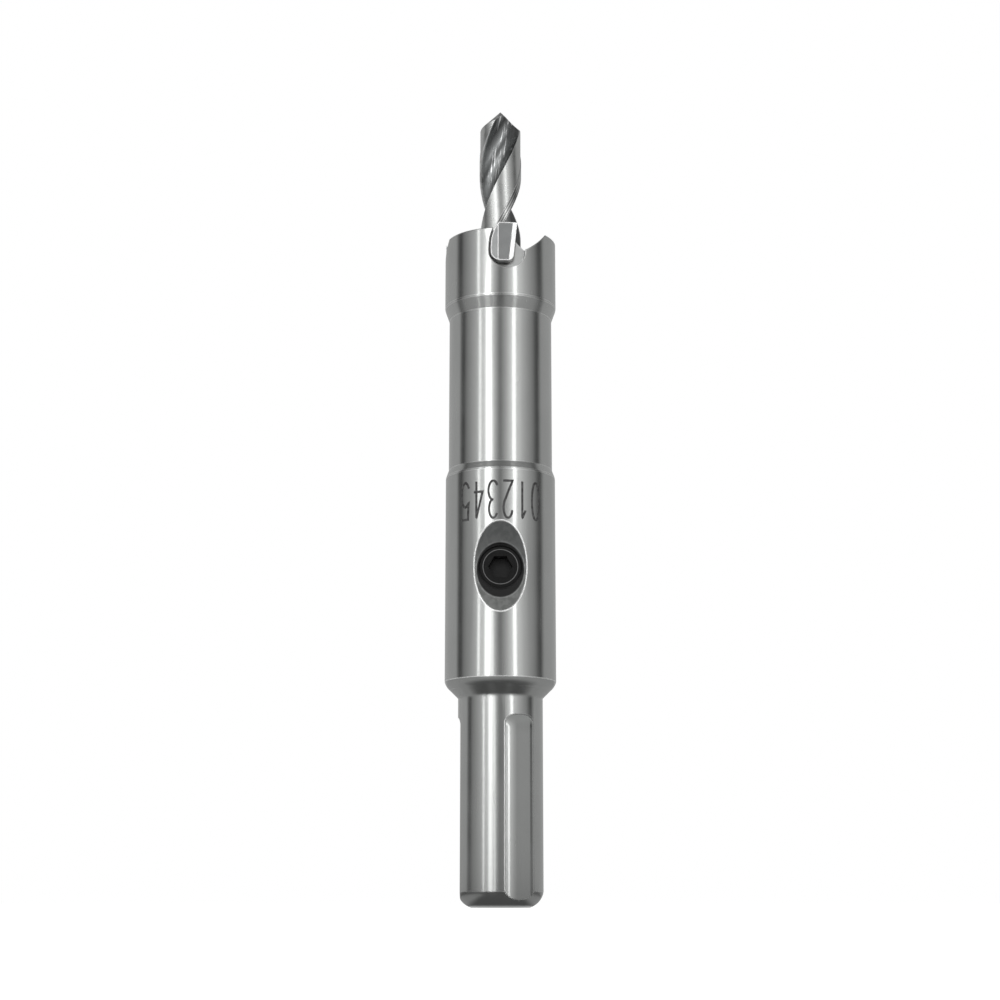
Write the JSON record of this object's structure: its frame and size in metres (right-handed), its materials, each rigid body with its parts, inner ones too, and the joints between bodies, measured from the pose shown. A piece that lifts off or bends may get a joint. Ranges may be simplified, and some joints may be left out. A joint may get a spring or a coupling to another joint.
{
  "type": "carbide hole saw",
  "caption": "Slim carbide-tipped hole saw for thin metal, with a brazed-tooth cup, a centre drill held by a set screw, and a three-flat shank.",
  "frame": {"origin": "centre of the shank's flat end face, on the tool's axis", "axes": "+Z along the tool's axis from the shank's end to the drill's point, -Y towards the side with the set screw, +X to the right seen from that side"},
  "size_m": [0.0136, 0.0138, 0.0982],
  "materials": {
    "turned_steel": "fine turned, satin",
    "carbide": "ground, matt",
    "silver_solder": "smooth flowed solder",
    "ground_steel": "ground, bright",
    "black_oxide": "black oxide, satin"
  },
  "bodies": {
    "root": {"cutter_body": "turned_steel", "carbide_tip_1": "carbide", "carbide_tip_2": "carbide", "carbide_tip_3": "carbide", "braze_1": "silver_solder", "braze_2": "silver_solder", "braze_3": "silver_solder", "pilot_drill": "ground_steel", "grub_screw": "black_oxide"}
  },
  "joints": []
}
